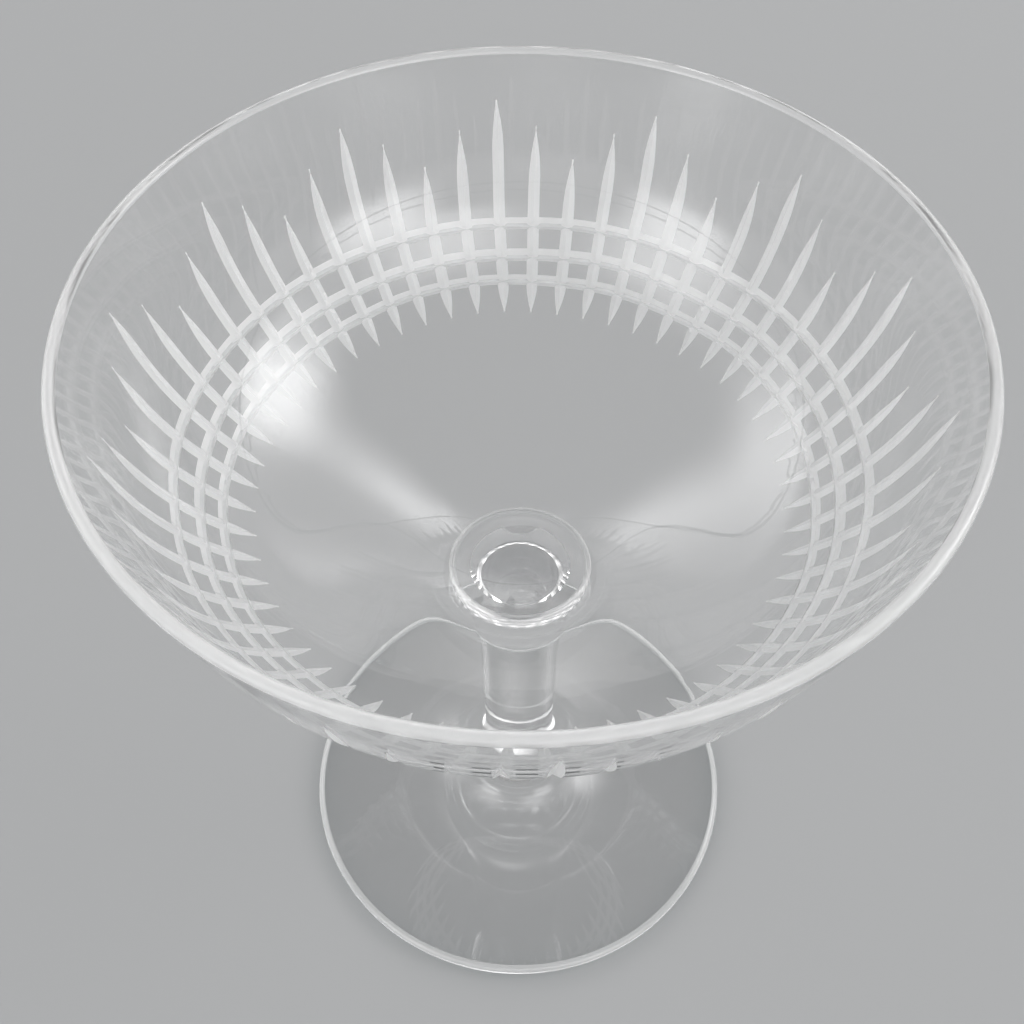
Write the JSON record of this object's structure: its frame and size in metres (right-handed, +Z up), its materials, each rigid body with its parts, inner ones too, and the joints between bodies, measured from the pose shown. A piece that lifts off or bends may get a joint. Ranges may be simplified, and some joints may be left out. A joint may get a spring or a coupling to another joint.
{
  "type": "champagne coupe",
  "caption": "Stemmed coupe in clear cut crystal: a deep bowl with wheel-cut mitre spears crossed by three level rings, a round collar, a solid round stem and a spread foot.",
  "frame": {"origin": "centre of the ring that the foot rests on, at table level", "axes": "+Z up the stem to the rim; the glass is turned about Z, and one of the longest spear cuts lies on +X"},
  "size_m": [0.1, 0.1, 0.11],
  "materials": {
    "cut_crystal": "clear crystal, fire-polished, with wheel-cut and acid-polished mitre cuts",
    "plain_crystal": "clear crystal, fire-polished"
  },
  "bodies": {
    "root": {"bowl": "cut_crystal", "collar": "plain_crystal", "stem": "plain_crystal", "foot": "plain_crystal"}
  },
  "joints": []
}
